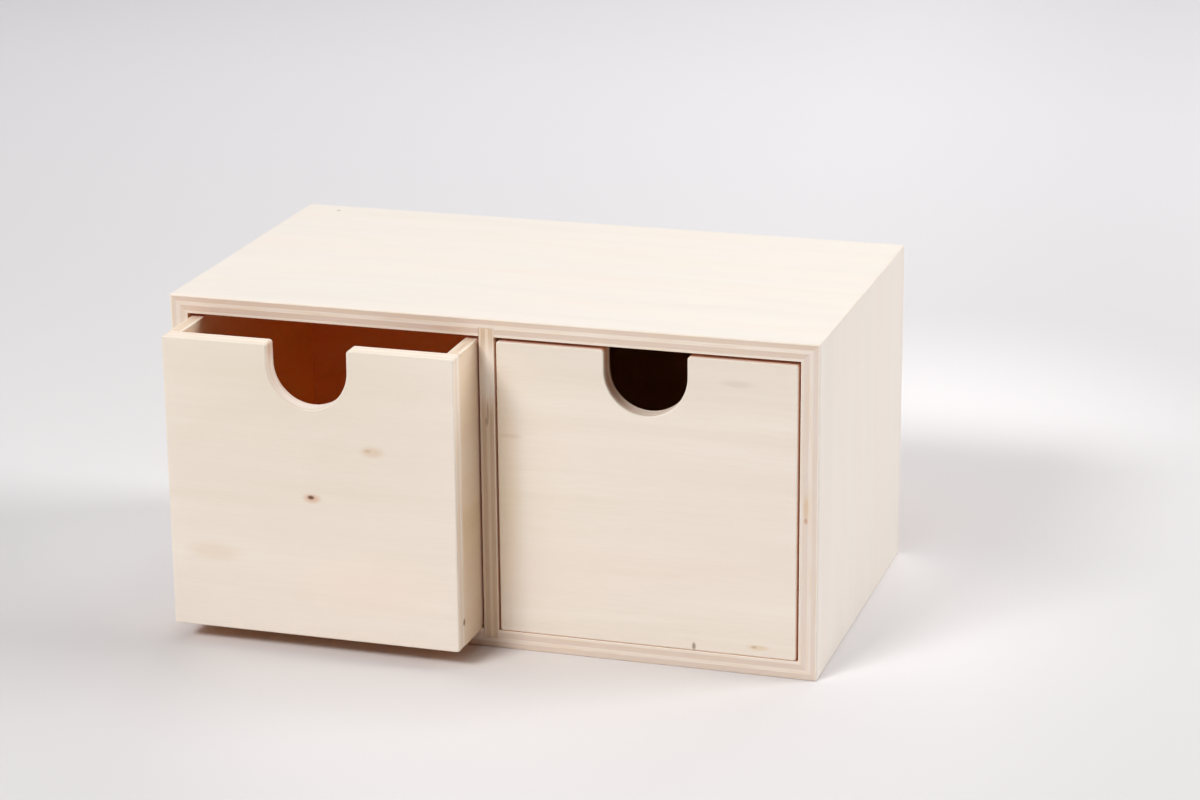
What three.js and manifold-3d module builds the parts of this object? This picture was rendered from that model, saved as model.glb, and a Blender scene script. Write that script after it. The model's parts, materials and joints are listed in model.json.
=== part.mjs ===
// A small chest of two drawers in pale craft plywood, in millimetres, +Z up.
// Four panels are mitred into a carcass, a divider is housed between them, and a thin
// back is let into a rebate. Each drawer is a box of its own, with a U-shaped finger
// notch in its front. The left drawer stands a little open.
// Origin: centre of the carcass's base. The drawers face -Y, and +X is to their right.

import * as THREE from "three";
import { mergeVertices } from "three/addons/utils/BufferGeometryUtils.js";
import Module from "manifold-3d";

const wasm = await Module();
wasm.setup();

// Carcass: outer size and boards.
const carcassWidth = 300;
const carcassDepth = 170;
const carcassHeight = 154;
const panelThickness = 8.5;
const dividerThickness = 7;
const dividerHousing = 4; // how deep the divider's ends go into top and bottom
const backThickness = 4;
const backLap = 4.5; // how far the back laps onto the ledge of its rebate

// Drawers: boards, grooves and the finger notch.
const frontThickness = 8.5;
const drawerSideThickness = 6;
const drawerBackThickness = 6;
const drawerBottomThickness = 3;
const bottomGrooveDepth = 3;
const bottomGrooveHeight = 4; // from a drawer's lower edge up to its bottom board
const notchWidth = 37.5;
const notchDepth = 28.5; // from the drawer's top edge to the lowest point of the U
const notchCornerRadius = 0.8; // of the flat face, where the U meets the top edge
const frontCornerRadius = 0.4; // of the flat face, inside its sanded edge

// Clearances.
const glueGap = 0.3; // between boards that are glued or housed
const drawerSideGap = 0.9;
const drawerTopGap = 1.5;
const drawerRunGap = 0.3; // between a drawer and the panel that it slides on
const drawerStopGap = 0.5; // behind a drawer that is pushed home
const drawerOpening = 31; // how far the left drawer stands out of its bay

// Sanded edges.
const carcassArris = 0.9;
const drawerArris = 0.8;
const thinArris = 0.5;

// Brads: round wire nails with a small flat head.
const bradShankDiameter = 1.2;
const bradHeadDiameter = 2;
const bradHeadThickness = 0.6;
const bradLength = 13;
const bradTipLength = 1.5;

// Cuts start this far outside the board that they go into.
const overrun = 2;
const weldTolerance = 1e-4;

// Where the brads stand, as shares of the half width and half height that they hold.
const backRowShares = [-0.84, -0.3, 0.3, 0.84];
const backColumnShares = [-0.4, 0.4];
const cornerBradShares = [-0.5, 0.5];
const half = 0.5;

// Counts of straight pieces in round outlines.
const cornerSteps = 3;
const notchSteps = 28;
const bradSides = 10;

// Places that follow from the sizes.
const halfWidth = carcassWidth * half;
const halfDepth = carcassDepth * half;
const frontPlane = -halfDepth;
const bayFloor = panelThickness;
const bayCeiling = carcassHeight - panelThickness;
const bayWidth = (carcassWidth - 2 * panelThickness - dividerThickness) * half;
const bayCentre = (dividerThickness + bayWidth) * half;
const backInnerPlane = halfDepth - backThickness;
const backHalfWidth = halfWidth - panelThickness + backLap;
const backLow = bayFloor - backLap;
const backHigh = bayCeiling + backLap;
const drawerWidth = bayWidth - 2 * drawerSideGap;
const drawerHeight = bayCeiling - bayFloor - drawerTopGap - drawerRunGap;
const drawerLength = carcassDepth - backThickness - drawerStopGap;
const drawerInnerHalf = drawerWidth * half - drawerSideThickness;

// Each pair of mitred faces stands half a glue gap from the diagonal.
const mitreInset = glueGap * Math.SQRT1_2;

const colours = { plywood: 0xe9ddcd, thinPlywood: 0xdfcfb9, steel: 0x9a9a98 };

function woodMaterial(colour) {
  return new THREE.MeshStandardMaterial({ color: colour, roughness: 0.75, metalness: 0 });
}

function steelMaterial() {
  return new THREE.MeshStandardMaterial({ color: colours.steel, roughness: 0.4, metalness: 1 });
}

// A closed geometry becomes a solid that can be joined and cut.
function solidOf(geometry) {
  const bare = geometry.clone();
  bare.deleteAttribute("normal");
  bare.deleteAttribute("uv");
  const welded = mergeVertices(bare, weldTolerance);
  const mesh = new wasm.Mesh({
    numProp: 3,
    vertProperties: new Float32Array(welded.attributes.position.array),
    triVerts: new Uint32Array(welded.index.array),
  });
  return new wasm.Manifold(mesh);
}

// A solid becomes a named mesh.
function boardMesh(name, solid, material) {
  const { vertProperties, triVerts } = solid.getMesh();
  const geometry = new THREE.BufferGeometry();
  geometry.setAttribute("position", new THREE.BufferAttribute(vertProperties, 3));
  geometry.setIndex(new THREE.BufferAttribute(triVerts, 1));
  geometry.computeVertexNormals();
  const mesh = new THREE.Mesh(geometry, material);
  mesh.name = name;
  return mesh;
}

// A square-edged block between two corners.
function block(low, high) {
  const size = new THREE.Vector3().subVectors(high, low);
  const centre = new THREE.Vector3().addVectors(low, high).multiplyScalar(half);
  const geometry = new THREE.BoxGeometry(size.x, size.y, size.z);
  return solidOf(geometry.translate(centre.x, centre.y, centre.z));
}

// An outline in the X-Z plane, seen from the front, drawn back from one depth to another.
function boardAlongY(outline, from, to) {
  const geometry = new THREE.ExtrudeGeometry(outline, { depth: to - from, bevelEnabled: false });
  geometry.rotateX(Math.PI * half);
  return solidOf(geometry.translate(0, to, 0));
}

// The same along X, for an outline in the Y-Z plane.
function boardAlongX(outline, from, to) {
  const geometry = new THREE.ExtrudeGeometry(outline, { depth: to - from, bevelEnabled: false });
  geometry.rotateX(Math.PI * half);
  geometry.rotateZ(Math.PI * half);
  return solidOf(geometry.translate(from, 0, 0));
}

// The same up Z, for an outline in the X-Y plane.
function boardAlongZ(outline, from, to) {
  const geometry = new THREE.ExtrudeGeometry(outline, { depth: to - from, bevelEnabled: false });
  return solidOf(geometry.translate(0, 0, from));
}

// A closed outline through corners, each of them square or rounded by its own radius.
function outlineOf(corners) {
  const shape = new THREE.Shape();
  corners.forEach(({ at, radius = 0 }, index) => {
    const before = corners[(index + corners.length - 1) % corners.length].at;
    const after = corners[(index + 1) % corners.length].at;
    const inward = new THREE.Vector2().subVectors(before, at).setLength(radius);
    const onward = new THREE.Vector2().subVectors(after, at).setLength(radius);
    const start = at.clone().add(inward);
    const centre = start.clone().add(onward);
    const steps = radius > 0 ? cornerSteps : 0;
    for (let step = 0; step <= steps; step++) {
      const turn = steps > 0 ? (Math.PI * half * step) / steps : 0;
      const point = centre
        .clone()
        .addScaledVector(onward, -Math.cos(turn))
        .addScaledVector(inward, -Math.sin(turn));
      if (index === 0 && step === 0) shape.moveTo(point.x, point.y);
      else shape.lineTo(point.x, point.y);
    }
  });
  return shape;
}

function corner(x, y, radius = 0) {
  return { at: new THREE.Vector2(x, y), radius };
}

// A rectangle with all four corners rounded alike.
function easedRectangle(left, low, right, high, radius) {
  return outlineOf([
    corner(left, low, radius),
    corner(right, low, radius),
    corner(right, high, radius),
    corner(left, high, radius),
  ]);
}

// A block whose twelve edges are sanded round: three rounded prisms, one along each axis.
function easedBlock(low, high, radius) {
  const across = boardAlongY(easedRectangle(low.x, low.z, high.x, high.z, radius), low.y, high.y);
  const along = boardAlongX(easedRectangle(low.y, low.z, high.y, high.z, radius), low.x, high.x);
  const upright = boardAlongZ(easedRectangle(low.x, low.y, high.x, high.y, radius), low.z, high.z);
  return across.intersect(along).intersect(upright);
}

// What the back and its rebate take out of the four carcass panels.
function backRebate() {
  return block(
    new THREE.Vector3(-backHalfWidth - glueGap, backInnerPlane - glueGap, backLow - glueGap),
    new THREE.Vector3(backHalfWidth + glueGap, halfDepth + overrun, backHigh + glueGap),
  );
}

// The sanded outer form of the whole carcass, which trims each of its panels.
function carcassForm() {
  return easedBlock(
    new THREE.Vector3(-halfWidth, -halfDepth, 0),
    new THREE.Vector3(halfWidth, halfDepth, carcassHeight),
    carcassArris,
  );
}

// Top and bottom: mitred at both ends, with a housing for the divider. The outer face lies
// at outerZ, and inward is 1 or -1 towards the bays.
function levelPanel(outerZ, inward) {
  const outerEnd = halfWidth - mitreInset;
  const innerEnd = outerEnd - panelThickness;
  const innerZ = outerZ + inward * panelThickness;
  const housingZ = innerZ - inward * (dividerHousing + glueGap);
  const housingHalf = dividerThickness * half + glueGap;
  const corners = [
    corner(-outerEnd, outerZ),
    corner(outerEnd, outerZ),
    corner(innerEnd, innerZ),
    corner(housingHalf, innerZ),
    corner(housingHalf, housingZ),
    corner(-housingHalf, housingZ),
    corner(-housingHalf, innerZ),
    corner(-innerEnd, innerZ),
  ];
  return boardAlongY(outlineOf(corners), frontPlane, halfDepth);
}

// Left and right sides: mitred top and bottom. side is -1 on the left and 1 on the right.
function uprightPanel(side) {
  const outerX = side * halfWidth;
  const innerX = side * (halfWidth - panelThickness);
  const corners = [
    corner(outerX, mitreInset),
    corner(outerX, carcassHeight - mitreInset),
    corner(innerX, bayCeiling - mitreInset),
    corner(innerX, bayFloor + mitreInset),
  ];
  return boardAlongY(outlineOf(corners), frontPlane, halfDepth);
}

function centreDivider() {
  return block(
    new THREE.Vector3(-dividerThickness * half, frontPlane, bayFloor - dividerHousing),
    new THREE.Vector3(dividerThickness * half, backInnerPlane - glueGap, bayCeiling + dividerHousing),
  );
}

function backPanel() {
  return block(
    new THREE.Vector3(-backHalfWidth, backInnerPlane, backLow),
    new THREE.Vector3(backHalfWidth, halfDepth, backHigh),
  );
}

// A brad, turned about Z with the top of its head at zero and its point below.
function bradGeometry(clearance) {
  const shank = bradShankDiameter * half + clearance;
  const head = bradHeadDiameter * half + clearance;
  const underHead = -bradHeadThickness - clearance;
  const top = clearance > 0 ? overrun : 0;
  const tip = -bradLength - clearance;
  const profile = [
    new THREE.Vector2(0, tip),
    new THREE.Vector2(shank, tip + bradTipLength),
    new THREE.Vector2(shank, underHead),
    new THREE.Vector2(head, underHead),
    new THREE.Vector2(head, top),
    new THREE.Vector2(0, top),
  ];
  return new THREE.LatheGeometry(profile, bradSides).rotateX(Math.PI * half);
}

// A brad driven in at a point, with the head outwards along X or Y; spread it by a clearance
// and it is the hole that it stands in.
function placedBrad({ at, outward }, clearance = 0) {
  const turn = new THREE.Quaternion().setFromUnitVectors(new THREE.Vector3(0, 0, 1), outward);
  const geometry = bradGeometry(clearance).applyQuaternion(turn);
  return solidOf(geometry.translate(at.x, at.y, at.z));
}

function drilled(solid, brads) {
  return brads.reduce((rest, brad) => rest.subtract(placedBrad(brad, glueGap)), solid);
}

// The back is held by brads through it into the ledge of the rebate, in the middle of the lap.
function backBrads() {
  const outward = new THREE.Vector3(0, 1, 0);
  const ledge = backLap * half;
  const middle = carcassHeight * half;
  const rowHalf = backHalfWidth;
  const columnHalf = middle - panelThickness;
  const rows = [
    ["bottom", bayFloor - ledge],
    ["top", bayCeiling + ledge],
  ];
  const columns = [
    ["left", -halfWidth + panelThickness - ledge],
    ["right", halfWidth - panelThickness + ledge],
  ];
  const places = [];
  for (const [edge, z] of rows) {
    backRowShares.forEach((share, index) => {
      const at = new THREE.Vector3(share * rowHalf, halfDepth, z);
      places.push({ name: `back_brad_${edge}_${index + 1}`, at, outward });
    });
  }
  for (const [edge, x] of columns) {
    backColumnShares.forEach((share, index) => {
      const at = new THREE.Vector3(x, halfDepth, middle + share * columnHalf);
      places.push({ name: `back_brad_${edge}_${index + 1}`, at, outward });
    });
  }
  return places;
}

// The parts of a drawer are drawn about its own origin: the middle of its lower front edge.
const bottomLow = bottomGrooveHeight;
const bottomHigh = bottomLow + drawerBottomThickness;
const backFace = drawerLength - drawerBackThickness;
const sideStart = frontThickness + glueGap;
const bottomHalf = drawerInnerHalf + bottomGrooveDepth - glueGap;
const bottomFront = frontThickness - bottomGrooveDepth + glueGap;
const bottomRear = backFace + bottomGrooveDepth - glueGap;

// The room that a drawer's bottom board needs in the boards round it.
function bottomGroove() {
  return block(
    new THREE.Vector3(-bottomHalf - glueGap, bottomFront - glueGap, bottomLow - glueGap),
    new THREE.Vector3(bottomHalf + glueGap, bottomRear + glueGap, bottomHigh + glueGap),
  );
}

// The outline of a drawer front's flat face, with its notch. The sanded edge then grows it by
// the inset, so it is drawn smaller by as much, and its notch wider.
function frontOutline(inset) {
  const side = drawerWidth * half - inset;
  const top = drawerHeight - inset;
  const notchRadius = notchWidth * half;
  const bend = new THREE.Vector2(0, drawerHeight - notchDepth + notchRadius);
  const reach = notchRadius + inset;
  const lip = notchCornerRadius;
  const round = frontCornerRadius;
  const quarter = Math.PI * half;
  const shape = new THREE.Shape();
  const addArc = (centre, radius, from, to, steps) => {
    for (let step = 0; step <= steps; step++) {
      const angle = from + ((to - from) * step) / steps;
      const x = centre.x + radius * Math.cos(angle);
      shape.lineTo(x, centre.y + radius * Math.sin(angle));
    }
  };
  shape.moveTo(side - round, inset);
  addArc(new THREE.Vector2(side - round, inset + round), round, -quarter, 0, cornerSteps);
  addArc(new THREE.Vector2(side - round, top - round), round, 0, quarter, cornerSteps);
  addArc(new THREE.Vector2(reach + lip, top - lip), lip, quarter, Math.PI, cornerSteps);
  addArc(bend, reach, 0, -Math.PI, notchSteps);
  addArc(new THREE.Vector2(-reach - lip, top - lip), lip, 0, quarter, cornerSteps);
  addArc(new THREE.Vector2(-side + round, top - round), round, quarter, Math.PI, cornerSteps);
  addArc(new THREE.Vector2(-side + round, inset + round), round, Math.PI, 3 * quarter, cornerSteps);
  return shape;
}

// A drawer front: sanded round all its front edges and the notch, and left square behind,
// where the sides are glued on.
function drawerFront() {
  const body = new THREE.ExtrudeGeometry(frontOutline(drawerArris), {
    depth: frontThickness + overrun,
    bevelEnabled: true,
    bevelSize: drawerArris,
    bevelThickness: drawerArris,
    bevelSegments: cornerSteps,
  });
  body.rotateX(Math.PI * half);
  const behind = frontThickness + overrun + drawerArris;
  const long = solidOf(body.translate(0, behind, 0));
  const waste = block(
    new THREE.Vector3(-drawerWidth, frontThickness, -overrun),
    new THREE.Vector3(drawerWidth, behind + drawerArris + overrun, drawerHeight + overrun),
  );
  return long.subtract(waste).subtract(bottomGroove());
}

// A drawer side: its top and bottom edges are sanded, and a groove runs its whole length.
function drawerSide(side) {
  const outer = side * drawerWidth * half;
  const inner = side * drawerInnerHalf;
  const left = Math.min(outer, inner);
  const right = Math.max(outer, inner);
  const outline = easedRectangle(left, 0, right, drawerHeight, thinArris);
  const board = boardAlongY(outline, sideStart, drawerLength);
  const groove = block(
    new THREE.Vector3(-bottomHalf - glueGap, 0, bottomLow - glueGap),
    new THREE.Vector3(bottomHalf + glueGap, drawerLength + overrun, bottomHigh + glueGap),
  );
  return board.subtract(groove);
}

// The drawer's back stands between the sides.
function drawerBack() {
  const reach = drawerInnerHalf - glueGap;
  const outline = easedRectangle(backFace, 0, drawerLength, drawerHeight, thinArris);
  return boardAlongX(outline, -reach, reach).subtract(bottomGroove());
}

function drawerBottom() {
  return block(
    new THREE.Vector3(-bottomHalf, bottomFront, bottomLow),
    new THREE.Vector3(bottomHalf, bottomRear, bottomHigh),
  );
}

// Brads go through each side into the ends of the drawer's back.
function cornerBrads(drawerName) {
  const y = drawerLength - drawerBackThickness * half;
  const middle = drawerHeight * half;
  const places = [];
  for (const side of [-1, 1]) {
    const outward = new THREE.Vector3(side, 0, 0);
    cornerBradShares.forEach((share, index) => {
      const at = new THREE.Vector3(side * drawerWidth * half, y, middle + share * middle);
      const hand = side < 0 ? "left" : "right";
      places.push({ name: `${drawerName}_brad_${hand}_${index + 1}`, at, outward });
    });
  }
  return places;
}

// One drawer as a group, in its bay. side is -1 on the left and 1 on the right.
function drawer(name, side, opening) {
  const wood = woodMaterial(colours.plywood);
  const thin = woodMaterial(colours.thinPlywood);
  const brads = cornerBrads(name);
  const group = new THREE.Group();
  group.add(boardMesh(`${name}_front`, drawerFront(), wood));
  group.add(boardMesh(`${name}_side_left`, drilled(drawerSide(-1), brads), wood));
  group.add(boardMesh(`${name}_side_right`, drilled(drawerSide(1), brads), wood));
  group.add(boardMesh(`${name}_back`, drilled(drawerBack(), brads), wood));
  group.add(boardMesh(`${name}_bottom`, drawerBottom(), thin));
  for (const brad of brads) {
    group.add(boardMesh(brad.name, placedBrad(brad), steelMaterial()));
  }
  group.position.set(side * bayCentre, frontPlane - opening, bayFloor + drawerRunGap);
  return group;
}

function carcass() {
  const wood = woodMaterial(colours.plywood);
  const thin = woodMaterial(colours.thinPlywood);
  const form = carcassForm();
  const rebate = backRebate();
  const brads = backBrads();
  const finished = (panel) => drilled(panel.intersect(form).subtract(rebate), brads);
  const group = new THREE.Group();
  group.add(boardMesh("top_panel", finished(levelPanel(carcassHeight, -1)), wood));
  group.add(boardMesh("bottom_panel", finished(levelPanel(0, 1)), wood));
  group.add(boardMesh("left_side", finished(uprightPanel(-1)), wood));
  group.add(boardMesh("right_side", finished(uprightPanel(1)), wood));
  group.add(boardMesh("centre_divider", centreDivider(), wood));
  group.add(boardMesh("back_panel", drilled(backPanel(), brads), thin));
  for (const brad of brads) {
    group.add(boardMesh(brad.name, placedBrad(brad), steelMaterial()));
  }
  return group;
}

const group = new THREE.Group();
group.add(carcass());
group.add(drawer("left_drawer", -1, drawerOpening));
group.add(drawer("right_drawer", 1, 0));

export default group;
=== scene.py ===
# %% [markdown]
# # A small chest of two drawers in bare plywood
# The object is a carcass of four mitred panels with a divider, a thin back and two
# drawers that are pulled by a U-shaped notch. It is sanded and left without any finish, so
# everything that the eye reads comes from the wood: soft grain, plies along each edge, a
# few pin knots and the warm glow inside the drawers.
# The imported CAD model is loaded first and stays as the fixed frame. Each board is then
# dressed in a copy of its own solid, because the solids already have the right shape.
# %% Load the frame
import json
import math

import bmesh
import bpy
from mathutils import Matrix, Vector


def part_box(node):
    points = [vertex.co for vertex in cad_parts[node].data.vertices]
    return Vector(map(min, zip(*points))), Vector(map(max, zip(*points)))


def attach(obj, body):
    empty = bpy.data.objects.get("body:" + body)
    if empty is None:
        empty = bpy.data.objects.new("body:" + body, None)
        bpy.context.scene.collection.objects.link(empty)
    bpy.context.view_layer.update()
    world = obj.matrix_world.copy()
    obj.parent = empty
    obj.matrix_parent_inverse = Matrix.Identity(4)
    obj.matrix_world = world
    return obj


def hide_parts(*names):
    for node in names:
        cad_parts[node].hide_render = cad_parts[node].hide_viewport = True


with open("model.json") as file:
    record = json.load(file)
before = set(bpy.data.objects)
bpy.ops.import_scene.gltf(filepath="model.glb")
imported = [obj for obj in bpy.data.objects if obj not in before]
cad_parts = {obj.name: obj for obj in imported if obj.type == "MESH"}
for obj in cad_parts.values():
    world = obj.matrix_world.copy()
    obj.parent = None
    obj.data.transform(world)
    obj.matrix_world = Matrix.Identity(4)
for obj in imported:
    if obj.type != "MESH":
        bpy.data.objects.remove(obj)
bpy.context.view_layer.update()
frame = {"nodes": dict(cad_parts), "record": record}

MM = 0.001
BOX = {name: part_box(name) for name in frame["nodes"]}

# %% [markdown]
# ## Camera
# The photograph was taken from the right and a little above, with a long lens, so the
# uprights stay nearly parallel. The place, the turn and the focal length were fitted to the
# corners of the carcass. The camera is built from its own three directions, because the
# picture is also tilted by half a degree, which a plain look-at could not give.
# %% Camera
PICTURE_WIDTH = 1200
SENSOR_WIDTH = 36.0
FOCAL_PIXELS = 3312.955
CAMERA_PLACE = Vector((0.457793, -1.396104, 0.556757))
AZIMUTH, ELEVATION, ROLL = (math.radians(angle) for angle in (17.2, 17.613, -0.5))

backwards = Vector((
    math.sin(AZIMUTH) * math.cos(ELEVATION),
    -math.cos(AZIMUTH) * math.cos(ELEVATION),
    math.sin(ELEVATION),
))
level_right = Vector((0, 0, 1)).cross(backwards).normalized()
level_up = backwards.cross(level_right)
right = math.cos(ROLL) * level_right + math.sin(ROLL) * level_up
up = -math.sin(ROLL) * level_right + math.cos(ROLL) * level_up

camera = bpy.data.objects.new("camera", bpy.data.cameras.new("camera"))
camera.data.sensor_width = SENSOR_WIDTH
camera.data.lens = FOCAL_PIXELS * SENSOR_WIDTH / PICTURE_WIDTH
camera.matrix_world = Matrix.Translation(CAMERA_PLACE) @ Matrix((
    right, up, backwards)).transposed().to_4x4()
bpy.context.scene.collection.objects.link(camera)
bpy.context.scene.camera = camera
bpy.context.scene.view_settings.view_transform = "Standard"
print("lens in mm:", round(camera.data.lens, 2))

# %% [markdown]
# ## Helpers for materials
# Colours are written as sRGB hex values, as a colour picker shows them, and turned linear
# in one place. One function adds a node with its settings and its links, so that a
# material reads as a list of steps.
# %% Helpers for materials
def linear(hex_value):
    """An sRGB hex value as linear red, green and blue."""
    channels = [int(hex_value[start:start + 2], 16) / 255 for start in (1, 3, 5)]
    return [c / 12.92 if c <= 0.04045 else ((c + 0.055) / 1.055) ** 2.4 for c in channels]


def add(tree, kind, inputs=(), **settings):
    """Adds a node. inputs maps a socket's name or number to a value or to another socket."""
    node = tree.nodes.new(kind)
    for name, value in settings.items():
        setattr(node, name, value)
    for key, value in dict(inputs).items():
        if isinstance(value, bpy.types.NodeSocket):
            tree.links.new(value, node.inputs[key])
        else:
            node.inputs[key].default_value = value
    return node


def new_material(name):
    """An empty material and its node tree."""
    material = bpy.data.materials.new(name)
    material.use_nodes = True
    material.node_tree.nodes.clear()
    return material, material.node_tree


print("mid grey in linear light:", [round(share, 3) for share in linear("#808080")])

# %% [markdown]
# ## Soft boxes
# The real box stood under large soft boxes, which is why its shadows have wide pale rims. A
# sun with a soft edge could light it too, but a rectangular area lamp works just like a
# soft box, and each can be moved and dimmed alone. Three that overlap at the front left
# make the key light, one at the right fills the side, and three behind and above lift the
# top and the paper. Light may bounce often, because only light that has been from board to
# board reaches into the drawers.
# %% Soft boxes
BOUNCE_COUNT = 10
# name: place, point that it faces, width, height (all in metres), power in watts
LAMPS = {
    "key_soft_box": ((-0.95, -2.23, 2.00), (0, 0, 0.08), 1.1, 0.6, 52.3),
    "low_soft_box": ((-1.57, -2.25, 1.30), (0, 0, 0.08), 1.6, 0.6, 4.5),
    "left_soft_box": ((-1.39, -1.99, 2.00), (0, 0, 0.08), 1.2, 0.6, 11.3),
    "right_soft_box": ((1.90, 0.55, 1.30), (0, 0, 0.08), 1.0, 1.0, 30.0),
    "rear_soft_box": ((0.10, 2.10, 1.60), (0, 0.3, 0.0), 1.6, 1.0, 12.5),
    "top_soft_box": ((0.30, 1.20, 2.60), (0, 0.3, 0.0), 2.4, 1.6, 16.3),
    "front_top_soft_box": ((0.10, -0.90, 2.30), (0, -0.05, 0.1), 1.2, 1.0, 5.4),
}

for name, (place, aim, width, height, power) in LAMPS.items():
    lamp = bpy.data.lights.new(name, "AREA")
    lamp.shape = "RECTANGLE"
    lamp.size, lamp.size_y = width, height
    lamp.energy = power
    holder = bpy.data.objects.new(name, lamp)
    holder.location = place
    holder.rotation_euler = (Vector(aim) - Vector(place)).to_track_quat("-Z", "Y").to_euler()
    bpy.context.scene.collection.objects.link(holder)
bpy.context.scene.cycles.diffuse_bounces = BOUNCE_COUNT
print("lamps:", ", ".join(LAMPS))

# %% [markdown]
# ## Seamless paper
# The box stands on matt white paper that runs on behind it without an edge. A curved sweep
# would do that for one camera, but a flat floor before a world of the same tone holds for
# every view. The studio's light falls off across the paper, and lamps alone would not give
# that as softly, so the paper's own tone carries it as painted light and shade: it fades
# towards the back, loses a little to the right and to the near left, and has a painted pool
# of light beside the box that lightens the box's shadow there.
# %% Seamless paper
FLOOR_HALF = 6.0
PAPER_NEAR, PAPER_FAR = "#E7E4E5", "#F6F3F6"
FADE_FROM, FADE_TO = 0.25, 1.15
# direction, where along it the loss starts and ends in metres, tone that is left
SLANTS = (((1.0, 0.13, 0.0), 0.02, 0.30, 0.89), ((-1.0, -1.0, 0.0), 0.22, 0.42, 0.9))
# Painted light: a paler pool on the paper beside the box, which lightens the box's shadow.
POOL_PLACE, POOL_REACH, POOL_TONE = (0.13, 0.23, 0.0), (0.23, 0.3, 1.0), 1.24
# The share of its reach up to which the pool keeps its full tone.
POOL_CORE = 0.24
PAPER_ROUGHNESS, PAPER_SPECULAR = 0.9, 0.2

paper, tree = new_material("seamless_paper")
point = add(tree, "ShaderNodeTexCoord").outputs["Object"]
where = add(tree, "ShaderNodeSeparateXYZ", {0: point})
fade = add(tree, "ShaderNodeMapRange", {
    "Value": where.outputs["Y"], "From Min": FADE_FROM, "From Max": FADE_TO},
    interpolation_type="SMOOTHSTEP")
colour = add(tree, "ShaderNodeMix", {0: fade.outputs[0], 6: (*linear(PAPER_NEAR), 1),
                                     7: (*linear(PAPER_FAR), 1)}, data_type="RGBA")
pool = add(tree, "ShaderNodeVectorMath", {0: point, 1: POOL_PLACE}, operation="SUBTRACT")
pool = add(tree, "ShaderNodeVectorMath", {0: pool.outputs[0], 1: POOL_REACH},
           operation="DIVIDE")
pool = add(tree, "ShaderNodeVectorMath", {0: pool.outputs[0]}, operation="LENGTH")
pool = add(tree, "ShaderNodeMapRange", {
    "Value": pool.outputs["Value"], "From Min": POOL_CORE, "From Max": 1.0,
    "To Min": POOL_TONE, "To Max": 1.0}, interpolation_type="SMOOTHSTEP")
tone = pool.outputs[0]
for direction, start, end, left_over in SLANTS:
    slant = add(tree, "ShaderNodeVectorMath", {0: point, 1: direction},
                operation="DOT_PRODUCT")
    slant = add(tree, "ShaderNodeMapRange", {
        "Value": slant.outputs["Value"], "From Min": start, "From Max": end,
        "To Min": 1.0, "To Max": left_over}, interpolation_type="SMOOTHSTEP")
    tone = add(tree, "ShaderNodeMath", {0: tone, 1: slant.outputs[0]},
               operation="MULTIPLY").outputs[0]
colour = add(tree, "ShaderNodeVectorMath", {0: colour.outputs[2], "Scale": tone},
             operation="SCALE")
shader = add(tree, "ShaderNodeBsdfPrincipled", {
    "Base Color": colour.outputs[0], "Roughness": PAPER_ROUGHNESS,
    "Specular IOR Level": PAPER_SPECULAR})
add(tree, "ShaderNodeOutputMaterial", {"Surface": shader.outputs[0]})

floor_mesh = bpy.data.meshes.new("floor")
floor_mesh.from_pydata(
    [(x * FLOOR_HALF, y * FLOOR_HALF, 0) for x, y in ((-1, -1), (1, -1), (1, 1), (-1, 1))],
    [], [(0, 1, 2, 3)])
floor_mesh.materials.append(paper)
floor = bpy.data.objects.new("floor", floor_mesh)
bpy.context.scene.collection.objects.link(floor)
print("paper:", 2 * FLOOR_HALF, "m square,", len(tree.nodes), "nodes")

# %% [markdown]
# ## The world round the paper
# Beyond the floor's edge the eye should meet the paper's own tone, but a world that bright
# would wash out the shadows. So it holds two plain backgrounds: the camera and anything
# glossy or clear see the bright one, and a very dim one lights the wood. Light Path tells
# which is asked for.
# %% The world round the paper
BACKGROUND = "#E9E6E9"
WORLD_LIGHT = 0.02

world = bpy.data.worlds.new("studio")
bpy.context.scene.world = world
world.use_nodes = True
tree = world.node_tree
tree.nodes.clear()
ray = add(tree, "ShaderNodeLightPath")
seen = add(tree, "ShaderNodeMath", {0: ray.outputs["Is Camera Ray"],
                                    1: ray.outputs["Is Glossy Ray"]}, operation="MAXIMUM")
seen = add(tree, "ShaderNodeMath", {0: seen.outputs[0], 1: ray.outputs["Is Transmission Ray"]},
           operation="MAXIMUM")
lit = add(tree, "ShaderNodeBackground", {"Color": (1, 1, 1, 1), "Strength": WORLD_LIGHT})
shown = add(tree, "ShaderNodeBackground", {"Color": (*linear(BACKGROUND), 1), "Strength": 1.0})
both = add(tree, "ShaderNodeMixShader", {0: seen.outputs[0], 1: lit.outputs[0],
                                         2: shown.outputs[0]})
add(tree, "ShaderNodeOutputWorld", {"Surface": both.outputs[0]})
print("world:", BACKGROUND, "to the eye,", WORLD_LIGHT, "of white to the wood")

# %% [markdown]
# ## The boards and their plies
# Plywood is thin sheets of wood, each turned a quarter against the next. On the real box
# the face grain runs from side to side on the top and on the drawer fronts, and upwards
# on the carcass's sides. Each board could have its own turned texture, but it is simpler to
# describe a board by the axis of its face grain, the axis of its thickness and the side on
# which its better face lies. That is all a material needs to know where any point lies in
# the board: along the grain, across it and how deep.
# %% The boards and their plies
X, Y, Z = 0, 1, 2
DRAWERS = ("left_drawer", "right_drawer")
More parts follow.
